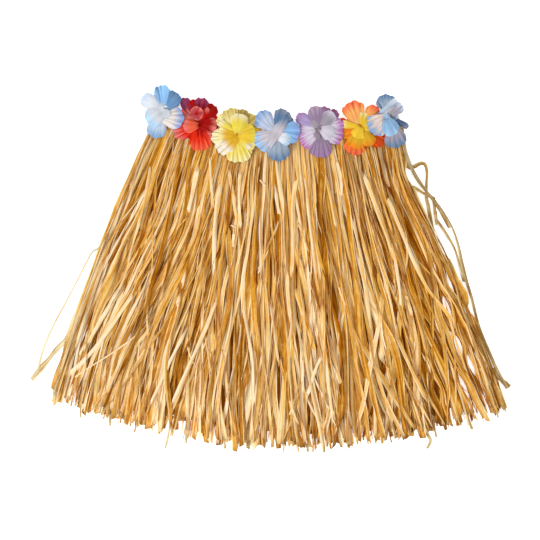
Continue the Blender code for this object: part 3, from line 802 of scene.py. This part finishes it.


# ---- flowers ----

# Dyes of the cloth, as the sRGB colours of their swatches. Some petals' dyes hold painted light:
# painted shade in the dull yellow and olive of the yellow flower's upper petals and throat, the
# maroon and wine of the red one's upper petals, the near-black red of its throat, the ember of
# the orange one, the dark blue of the left blue one's shoulder and the navy of the other blue
# ones' darker petals; painted highlights in the salmon rims of the red one's petals.
DYES = {
    "white": "D2D5DB", "snow": "E6EAF2", "ice": "BECFE2", "mist": "A8CEEC", "sky": "8FBFEC",
    "azure": "94BCE2", "periwinkle": "8CA8E0", "blue": "7FA3CC", "dusk": "6C93BE",
    "steel": "5F7FA4", "slate": "7F8898", "navy": "4C6080", "lavender": "BCC6DC",
    "fog": "9FAEBF",
    "ash": "968A8E", "dove": "A58FA4", "heather": "9A84A0", "greylilac": "A49DA8",
    "beige": "B6ADAE", "pearl": "CDC5CC", "lilac": "D8CEDE", "mauve": "AD8DAE",
    "wisteria": "AA98C4", "violet": "9C79A8", "magenta": "BA74B8", "plum": "8A587C",
    "wine": "863A5C",
    "rose": "C04A4E", "cream": "EDE4DA", "peach": "E8D4C8", "salmon": "E07A72",
    "coral": "EE6444", "scarlet": "E22A12", "red": "CE0E08", "crimson": "A80A06",
    "maroon": "86120A", "throat": "740402",
    "khaki": "C8B05C", "olive": "A89048", "butter": "F0E4A4", "straw": "F2E6B8",
    "lemon": "EED850", "yellow": "F0CA3A", "gold": "E2B02A", "apricot": "F2AC62",
    "orange": "EE8C22", "ember": "D84E16",
}

# One petal, in mm about its flower's throat: where it springs from, which way it points in
# degrees, its length and half spread, where its sides turn into the rounded end (a share of
# the length), how high it lies over the layer, its dyes from the throat to the rim, how deep
# its pleats are and how many, how much it is domed, and how much its left side stands over
# its right. A petal that spreads 180 to each side is a disc.
MEASURES = "x y bearing length spread shoulder lift dyes pleat pleats dome tilt"
Petal = namedtuple("Petal", MEASURES, defaults=(0.5, 0))
# Its place and how far it rises from the throat to the rim, in mm.
Flower = namedtuple("Flower", "name x y rise slot outer inner seed")


def petals(*rows):
    return tuple(Petal(*row) for row in rows)


FLOWERS = (
    Flower("blue_left", -143.8, 213.3, 12.5, "petal_blue", petals(
        (0, 0.7, 0, 16.2, 180, 1, -0.8, "cream ice ice", 0.3, 6, 0),
        (6.6, 0.3, 153, 39.3, 23, 0.58, 1.5, "white white ice", 0.05, 2, 1.2),
        (-3.0, -5.9, 54, 37.6, 25, 0.68, 1, "ice dusk steel", 0.25, 3, 0.8, -1.5),
        (-0.4, 5.9, 7, 22.9, 12, 0.5, -0.5, "greylilac lavender slate", 0.1, 2),
        (-0.1, 6.8, -105, 44.0, 25, 0.63, 0, "cream ice blue", 0.25, 4, 0.8),
    ), petals(
        (1.8, -6.2, 95, 40.8, 22, 0.68, 0.8, "ice sky sky", 0.4, 4, 0.8),
        (-3.1, 1.9, 100, 31.7, 7, 0.5, 2.6, "mist azure dusk", 0.1, 2, 0.6),
        (-13.9, -6.1, -6, 41.8, 30, 0.68, 1, "cream cream periwinkle", 0.6, 6, 0.6),
        (10.9, 8.4, -142, 39.7, 30, 0.68, 2.5, "snow white mist", 0.1, 3, 1.5),
        (3.8, 4.6, 0, 2.8, 180, 1, 1, "cream cream mist", 0.2, 2),
        (4.1, -4.1, 0, 6.8, 180, 1, 3, "white white ice", 0.1, 2, -1),
    ), 1),
    Flower("red", -98.5, 196.4, 3.5, "petal_red", petals(
        (2.0, -0.7, 0, 23.0, 180, 1, -0.8, "throat crimson red", 0.4, 8, 0),
        (7.8, -9.0, 122, 51.4, 12, 0.68, 0, "maroon wine wine", 0.4, 3),
        (2.7, -8.5, 103, 42.6, 17, 0.73, 0.3, "crimson crimson crimson", 0.6, 4),
        (-1.4, -9.3, 78, 45.4, 17, 0.73, 0.6, "crimson crimson wine", 0.6, 4),
        (-5.9, -7.2, 47, 44.1, 19, 0.73, 0.3, "crimson crimson maroon", 0.5, 4, 0.5, -0.5),
        (-6.2, -2.8, 12, 36.7, 24, 0.73, 0.9, "throat crimson crimson", 0.5, 4),
        (-4.9, 3.6, -43, 36.1, 18, 0.68, 0.5, "throat scarlet salmon", 0.4, 3),
        (3.8, -2.0, 145, 33.3, 22, 0.73, 0.5, "red salmon coral", 0.9, 5),
        (10.5, 0.1, -164, 43.4, 23, 0.68, 0.8, "red scarlet salmon", 0.7, 5, 0.6),
        (1.4, 7.7, -84, 43.7, 27, 0.72, 1.2, "throat scarlet coral", 0.7, 5, 1),
    ), petals(
        (0, 13.8, 0, 9.3, 180, 1, 3, "crimson rose salmon", 1.5, 4, 2.6),
        (2.4, -2.7, 0, 2.7, 180, 1, 1.2, "throat throat crimson", 0.2, 2),
        (3.2, -2.0, 63, 26.6, 13, 0.5, 2, "crimson red salmon", 0.1, 2, 0.6),
        (2.6, 6.1, -85, 33.2, 22, 0.68, 1.6, "throat crimson scarlet", 0.5, 3, 0.8),
        (9.2, -1.8, -178, 27.4, 29, 0.68, 2.2, "crimson coral salmon", 0.2, 3, 1.5),
        (-1.1, 3.4, -19, 29.0, 33, 0.73, 2.5, "throat crimson salmon", 0.4, 3, 1),
    ), 2),
    Flower("yellow", -45.2, 179.6, 10.3, "petal_yellow", petals(
        (0.7, 0, 0, 25.7, 180, 1, -0.8, "gold gold lemon", 0.4, 8, 0),
        (8.5, -5.4, 134, 46.1, 17, 0.73, 0, "khaki khaki butter", 0.6, 4),
        (3.1, -7.3, 107, 46.3, 19, 0.76, 0.4, "khaki butter khaki", 0.8, 5),
        (-8.2, -4.6, 40, 46.9, 20, 0.73, -0.3, "khaki olive khaki", 0.4, 4, 0.5, -1),
        (-3.1, -6.8, 73, 44.5, 20, 0.76, 0.1, "khaki khaki olive", 0.5, 4),
        (11.7, 6.2, 5, 22.8, 12, 0.5, -0.4, "lemon gold gold", 0.1, 2, 0.3),
        (-6.3, -3.2, 18, 35.9, 22, 0.68, 0.3, "gold lemon lemon", 0.3, 3),
        (-5.8, 1.1, -22, 34.7, 22, 0.73, 0.3, "gold lemon butter", 0.4, 4),
        (6.6, 1.1, -175, 39.9, 22, 0.73, 0.4, "gold butter straw", 0.9, 5),
        (5.3, 4.3, -141, 39.0, 23, 0.68, 0.6, "gold butter cream", 0.6, 4),
        (-1.5, 8.4, -80, 44.1, 31, 0.73, 0.8, "gold lemon butter", 0.9, 7, 0.6),
    ), petals(
        (4.2, 1.6, 146, 32.0, 15, 0.5, 2.5, "lemon lemon straw", 0.1, 2, 1),
        (9.3, 7.0, -136, 35.4, 27, 0.68, 2.4, "gold gold cream", 0.2, 3, 1),
        (8.8, -0.3, 170, 33.6, 23, 0.68, 2.8, "gold gold butter", 0.2, 3, 1.5),
        (-5.8, 0.3, 7, 32.4, 32, 0.73, 2.6, "gold yellow lemon", 0.2, 3, 1.5),
        (-4.7, 6.2, -54, 32.5, 29, 0.76, 3, "gold lemon cream", 0.2, 3, -1),
        (0.7, -6.3, 83, 36.6, 26, 0.73, 3.5, "khaki lemon straw", 0.1, 2, 2),
        (0.7, 1.4, 0, 3.0, 180, 1, 1.2, "khaki gold gold", 0.2, 2),
    ), 3),
    Flower("blue_middle", 8.8, 183.6, 13.5, "petal_blue", petals(
        (0.7, -0.7, 0, 20.9, 180, 1, -0.8, "greylilac greylilac lavender", 0.3, 6, 0),
        (5.3, 11.3, 24, 18.6, 18, 0.58, -1.5, "navy slate navy", 0.1, 2, 0.4),
        (-0.7, 4.9, 158, 30.5, 18, 0.68, 0.4, "lavender lavender dusk", 0.3, 3),
        (0.9, -3.5, 128, 39.7, 25, 0.7, 1, "pearl lavender blue", 0.6, 4, 0.6),
        (-0.7, 2.7, 90, 28.3, 6, 0.5, 0.5, "greylilac greylilac slate", 0.1, 2, 0.3),
        (-3.9, -1.1, 63, 35.9, 25, 0.73, 1.5, "greylilac steel slate", 0.4, 3, 0.8, -1),
        (-0.9, 7.3, -83, 44.8, 26, 0.73, 0.2, "lavender fog steel", 0.4, 4, 0.8),
        (-3.9, 3.8, -6, 35.2, 34, 0.73, 0.5, "lavender sky periwinkle", 0.5, 4, 0.6),
        (6.1, 3.0, -149, 38.6, 31, 0.73, 1.2, "lavender pearl sky", 0.65, 6, 0.6),
    ), petals(
        (6.3, -1.6, 148, 28.8, 15, 0.5, 2.2, "pearl lavender pearl", 0.2, 3, 0.8),
        (-0.7, -0.5, -61, 19.5, 23, 0.5, 1.2, "beige lilac ice", 0.2, 3),
        (-6.9, 0.8, -25, 29.2, 25, 0.68, 2.4, "pearl snow mist", 0.25, 3, 0.8),
        (5.8, 7.6, -131, 34.8, 14, 0.5, 1.6, "pearl fog sky", 0.3, 3, 1),
        (-18.1, -34.3, 63, 65.9, 12, 0.5, 3.2, "lavender pearl steel", 0.15, 3, 1.5, -1.5),
    ), 4),
    Flower("purple", 66.6, 187.0, 8.0, "petal_purple", petals(
        (0, 0.7, 0, 23.2, 180, 1, -0.8, "ash greylilac lilac", 0.3, 5, 0),
        (0.4, 2.3, 150, 36.0, 20, 0.63, 0.2, "lilac wisteria violet", 0.4, 3),
        (-2.6, -0.4, 46, 38.1, 16, 0.68, -0.3, "violet plum plum", 0.3, 3, 0.5, -1),
        (-0.4, -2.6, 75, 36.2, 18, 0.68, 0.4, "greylilac wisteria plum", 0.4, 3),
        (0.4, -4.7, 101, 38.5, 21, 0.73, 1, "ash heather dove", 0.3, 3, 0.6),
        (1.8, 2.6, -177, 31.2, 25, 0.73, 0.3, "white lilac violet", 0.7, 4),
        (-2.0, 1.2, 13, 34.8, 24, 0.73, 0.5, "lilac lilac magenta", 0.7, 4),
        (-3.4, 1.2, -18, 35.9, 25, 0.73, 0.8, "white lilac magenta", 0.8, 5),
        (0.4, 3.9, -87, 39.7, 30, 0.73, 0.4, "ash heather violet", 0.7, 5, 0.6),
        (3.6, 2.6, -144, 35.2, 27, 0.73, 0.8, "lilac lilac magenta", 0.9, 5),
    ), petals(
        (3.1, 2.8, 146, 20.4, 27, 0.58, 1.6, "ash greylilac mauve", 0.2, 3, 0.8),
        (3.9, -0.1, -143, 18.9, 27, 0.58, 1.6, "ash dove lilac", 0.3, 3, 0.8),
        (-1.2, -21.7, 93, 36.0, 14, 0.5, 1.8, "ash ash dove", 0.2, 3, -1),
        (-2.3, 0.7, 49, 31.5, 23, 0.73, 2.5, "dove greylilac lilac", 0.1, 2, 1.5),
        (-4.2, 4.7, -23, 24.6, 35, 0.76, 3, "greylilac lilac white", 0.05, 2, 2),
        (0, -0.7, 0, 2.7, 180, 1, 1.2, "greylilac greylilac beige", 0.2, 2),
    ), 5),
    Flower("orange", 122.9, 189.7, 3.5, "petal_orange", petals(
        (0, 0.7, 0, 23.0, 180, 1, -0.8, "gold orange orange", 0.4, 8, 0),
        (1.4, 3.6, 25, 31.3, 17, 0.68, 0, "apricot coral ember", 0.4, 3, 0.4),
        (-3.0, 2.3, 48, 36.8, 23, 0.68, 0.3, "yellow apricot coral", 0.6, 4),
        (0.3, -4.2, 110, 43.4, 27, 0.73, 0.8, "butter apricot coral", 0.8, 5, 0.6),
        (-8.6, 3.9, 161, 23.0, 19, 0.68, -0.2, "orange ember ember", 0.2, 2, 0.4),
        (0.3, 0.9, -169, 29.8, 26, 0.73, 0.4, "yellow orange orange", 0.5, 4),
        (-3.0, 1.2, -31, 39.9, 21, 0.73, -0.3, "orange ember ember", 0.5, 4),
        (-3.2, 5.3, -101, 40.4, 28, 0.73, 0.2, "orange orange coral", 0.6, 5, 0.6),
    ), petals(
        (-1.6, -0.4, 76, 23.4, 24, 0.73, 1.8, "gold yellow butter", 0.6, 4, 0.6),
        (-2.7, -0.1, 22, 20.4, 37, 0.73, 2.2, "gold yellow orange", 0.4, 3, 1),
        (0, 4.2, -62, 30.0, 24, 0.73, 2, "gold gold orange", 0.3, 3, 1),
        (3.5, 1.8, 170, 31.7, 14, 0.63, 2.4, "gold yellow butter", 0.1, 2, 1),
        (0.8, 1.8, -114, 30.0, 30, 0.76, 2, "gold gold orange", 0.3, 3, 1.2),
        (0.8, 8.0, -110, 22.1, 34, 0.78, 3.4, "gold yellow yellow", 0.1, 2, 2),
    ), 6),
    Flower("blue_right", 158.5, 202.5, 12.5, "petal_blue", petals(
        (-0.5, 1.4, 0, 14.2, 180, 1, -0.8, "beige slate sky", 0.3, 6, 0),
        (5.4, 2.7, -33, 25.9, 15, 0.5, -0.5, "navy navy slate", 0.1, 2, 0.4),
        (-1.9, -0.8, 49, 28.8, 25, 0.73, 0, "ash greylilac lavender", 0.4, 3, 0.5, -1),
        (-1.4, 4.9, 119, 23.7, 19, 0.68, 0.2, "steel navy steel", 0.2, 2),
        (-1.4, -1.9, 93, 35.0, 29, 0.73, 0.6, "pearl fog steel", 0.5, 4, 0.6),
        (1.6, 3.8, -75, 43.1, 27, 0.73, 0, "beige greylilac steel", 0.5, 5, 0.8),
        (5.1, 8.4, -140, 38.2, 33, 0.73, 0.8, "lilac peach blue", 0.9, 6, 0.6),
    ), petals(
        (-2.2, 2.4, 0, 4.7, 180, 1, 2.4, "ice mist ice", 0.2, 2, -0.8),
        (-9.5, 3.8, 42, 22.8, 19, 0.58, 2, "lavender pearl ice", 0.1, 2, 0.8),
        (-18.4, 1.8, 40, 38.2, 10, 0.5, 3, "mist ice snow", 0.1, 2, 1.5),
        (-5.3, 6.8, -66, 31.7, 38, 0.25, 3.2, "fog azure mist", 0.2, 3, 2.4),
    ), 7),
)
FLOWER_BASE = 15.6 * MM
THROAT = 6.5 * MM
DROOP = 0.9 * MM  # how far a petal's rim hangs, and how much more on a flower that stands high
DROOP_OF_RISE = 0.25
DISC_SAG = 0.5  # how far the disc under the petals hangs, beside a petal
EDGE_FOLD = 0.5 * MM
DYE_STRENGTH = 0.89  # how light dyed cloth is beside its swatch
DYE_RUN = 0.13  # how much further than beside them the dye runs along its streaks
VEIN_SHADE = 0.075  # how much painted shade and painted highlight darken and lighten the cloth at its veins, ridges and valleys
RIDGE_SHADE = 0.2
VALLEY_SHADE = 0.24
PLEAT_EDGE = 0.3  # how high on a pleat its ridge begins, and how deep its valley
PETAL_NECK = 0.28  # where a petal begins, as a share of its length from where its sides meet
DISC_NECK = 0.02
PETAL_RINGS = 22
PETAL_TURNS = 49
MAP_CELLS = 4  # petals side by side on a layer's map


def petal_reach(petal, turn):
    """Share of the petal's length that it reaches at a turn from -1 to 1 across it."""
    return petal.shoulder + (1 - petal.shoulder) * (1 - np.abs(turn) ** 2.5) ** 0.6


def ripple(chance, turn, *bends):
    """Uneven waves across a petal, whose two sides are at turns of -1 and 1."""
    return wander(chance, None, turn / 2, *bends)


def petal_sheet(flower, petal, chance):
    """Points and dyes of one petal: a pleated, domed fan with a ruffled rim."""
    whole = petal.spread >= 180
    neck = DISC_NECK if whole else PETAL_NECK
    share = blend(neck, 1, np.linspace(0, 1, PETAL_RINGS) ** 0.85)[:, None]
    turn = np.sin(np.linspace(-np.pi / 2, np.pi / 2, PETAL_TURNS))[None, :]
    count = petal.pleats
    rise = flower.rise * MM
    ruffles = ripple(chance, turn, (0.6, 1.5, 2.5), (0.7, 3, 5), (0.3, 6, 9), (0.15, 12, 18))
    reach = petal_reach(petal, turn) + (0.008 + 0.02 * petal.pleat) * ruffles
    away = share * petal.length * MM * reach
    far = share * reach
    bearing = math.radians(petal.bearing) + math.radians(petal.spread) * turn
    x = petal.x * MM + away * np.cos(bearing)
    y = petal.y * MM + away * np.sin(bearing)
    bends = (0.65, 0.6, 1.1), (0.45, 1.3, 2), (0.1, 2.4, 3.2)
    bends = [(size, fewest * count, most * count) for size, fewest, most in bends]
    pleats = ripple(chance, turn, *bends)
    from_throat = np.hypot(x, y)
    dip = 0.8 if whole and petal.lift < 0 else 0.5 - 0.1 * petal.lift
    opening = 1 - dip * np.exp(-((from_throat / THROAT) ** 2))
    height = FLOWER_BASE + rise * opening
    height = height + petal.lift * MM * (1 if whole else smooth(share / 0.4))
    height = height + petal.pleat * MM * pleats * far**1.2
    crown = 1 - turn**2
    crown = far**3 if whole else crown * np.sin(np.pi * np.clip(far, 0, 1) ** 1.3 * 0.8)
    height = height + petal.dome * MM * crown
    height = height + petal.tilt * MM * turn * far
    sag = DISC_SAG * (petal.lift < 0) if whole else 1
    height = height - sag * (DROOP + DROOP_OF_RISE * rise) * share**2.5
    height = height + EDGE_FOLD * share**4 * ripple(chance, turn, (0.7, 2, 4), (0.5, 5, 8))
    points = np.stack([flower.x * MM + x, flower.y * MM + y, height], axis=-1)
    return points, petal_dye(petal, chance, turn, far, pleats)


def petal_dye(petal, chance, turn, far, pleats):
    """Dye soaked in from the throat and the rim, running further along some of the pleats, with
    painted shade and highlights on the pleats' valleys, ridges and veins.
    """
    heart, middle, rim = (np.array(colour(DYES[name])) for name in petal.dyes.split())
    streaks = ripple(chance, turn, (0.6, 4, 8), (0.5, 9, 14), (0.25, 16, 22))
    veins = ripple(chance, turn, (0.6, 6, 10), (0.4, 13, 19))
    soak = far + 0.08 * min(1, 2 * petal.pleat) * pleats
    soak = soak + DYE_RUN * min(1.2, 0.35 + petal.pleat) * streaks * far
    dye = blend(heart, middle, smooth((soak - 0.1) / 0.38)[..., None])
    dye = blend(dye, rim, smooth((soak - 0.64) / 0.34)[..., None])
    # Painted shade darkens the pleats' valleys and painted highlights lighten their ridges; the
    # veins add both.
    ridge = smooth((pleats - PLEAT_EDGE) / PLEAT_EDGE)
    valley = smooth((-PLEAT_EDGE - pleats) / PLEAT_EDGE)
    creased = min(1.3, 0.3 + 1.4 * petal.pleat)
    painted_fold_light = creased * (RIDGE_SHADE * ridge - VALLEY_SHADE * valley)
    light = 1 + (painted_fold_light + VEIN_SHADE * veins) * far
    dye = dye * light[..., None] * DYE_STRENGTH
    return np.concatenate([np.clip(dye, 0, 1), np.ones((*far.shape, 1))], axis=-1)


def petal_layer(flower, name, layer, inner):
    """One layer of a flower as an object."""
    chance = np.random.default_rng(flower.seed * 10 + inner)
    sheets = [petal_sheet(flower, petal, chance) for petal in layer]
    points, dyes = (np.stack(arrays) for arrays in zip(*sheets))
    quads = sheet_faces(len(layer), PETAL_RINGS, PETAL_TURNS)
    places = cell_places(len(layer), PETAL_RINGS, PETAL_TURNS, MAP_CELLS)
    return mesh_object(name, points, quads, "dye", dyes.reshape(-1, 4), places)


# ---- stage ----

# Area lights that face the skirt: name, place in m, size in m and power in W.
LIGHTS = (
    ("key", (-1.5, -1.35, 1.75), 0.8, 73),
    ("overhead", (0.3, 0.2, 3.2), 2.0, 53),
    ("fill", (0.9, 2.2, 1.1), 1.6, 20),
)
WORLD_LIGHT = 0.25
FLOOR_HALF = 6
CAMERA_HEIGHT = 2.44
LENS = 120
SENSOR = 36


def area_light(name, place, size, power):
    lamp = bpy.data.lights.new(name, "AREA")
    lamp.size = size
    lamp.energy = power
    obj = placed(name, lamp)
    obj.location = place
    obj.rotation_mode = "QUATERNION"
    obj.rotation_quaternion = (-obj.location).to_track_quat("-Z", "Y")


def build_stage():
    """A white floor that glows a little, three lights and an even white surround."""
    ground = bpy.data.meshes.new("floor")
    half = FLOOR_HALF
    corners = [(-half, -half, 0), (half, -half, 0), (half, half, 0), (-half, half, 0)]
    ground.from_pydata(corners, [], [(0, 1, 2, 3)])
    make = Nodes("pale_floor")
    ground.materials.append(make.finish(
        Base_Color=(0.93, 0.93, 0.93, 1), Roughness=0.9, Specular_IOR_Level=0.1,
        Emission_Color=(1, 1, 1, 1), Emission_Strength=0.5))
    placed("floor", ground)
    for light in LIGHTS:
        area_light(*light)
    world = bpy.data.worlds.new("studio")
    bpy.context.scene.world = world
    world.use_nodes = True
    back = world.node_tree.nodes["Background"]
    back.inputs["Color"].default_value = (1, 1, 1, 1)
    back.inputs["Strength"].default_value = WORLD_LIGHT
    bpy.context.scene.view_settings.view_transform = "Standard"
    bpy.context.scene.view_settings.look = "None"


def build_camera():
    """A long lens that looks straight down."""
    lens = bpy.data.cameras.new("camera")
    lens.lens = LENS
    lens.sensor_width = SENSOR
    camera = placed("camera", lens)
    camera.location = (0, 0, CAMERA_HEIGHT)
    bpy.context.scene.camera = camera


# ---- the dressed skirt ----

REPLACED = ("raffia_back", "fringe_lower", "fringe_middle", "fringe_upper")  # row by row
GLOSSES = {
    "petal_blue": (0.9, 0.95, 1),
    "petal_red": (1, 0.4, 0.35),
    "petal_yellow": (1, 0.95, 0.7),
    "petal_purple": (0.95, 0.9, 1),
    "petal_orange": (1, 0.7, 0.4),
}


def dress(obj, material, slot, *nodes):
    obj.data.materials.append(material)
    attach(obj, "root")
    if nodes:
        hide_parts(*nodes)
    return obj


def main():
    raffia = raffia_material()
    for layer, node in zip(LAYERS, REPLACED):
        sheets = [ribbon_sheet(ribbon_layer(layer), layer.seed)]
        if layer is LAYERS[-1]:
            sheets.append(strand_sheets(CROSSING + HANGING, STRAND_SEED))
        dress(ribbons_object(layer.name, sheets), raffia, "raffia", node)
    elastic = elastic_material()
    band = dress(waistband(), elastic, "elastic", "waistband")
    dress(zigzag_thread(), elastic, "elastic")

    cloths = {slot: petal_material(slot, gloss) for slot, gloss in GLOSSES.items()}
    for flower in FLOWERS:
        for side, layer, inner in (("outer", flower.outer, False), ("inner", flower.inner, True)):
            obj = petal_layer(flower, f"flower_{side}_{flower.name}", layer, inner)
            dress(obj, cloths[flower.slot], flower.slot, f"petals_{side}_{flower.name}")

    build_stage()
    build_camera()
    bpy.context.view_layer.update()


main()
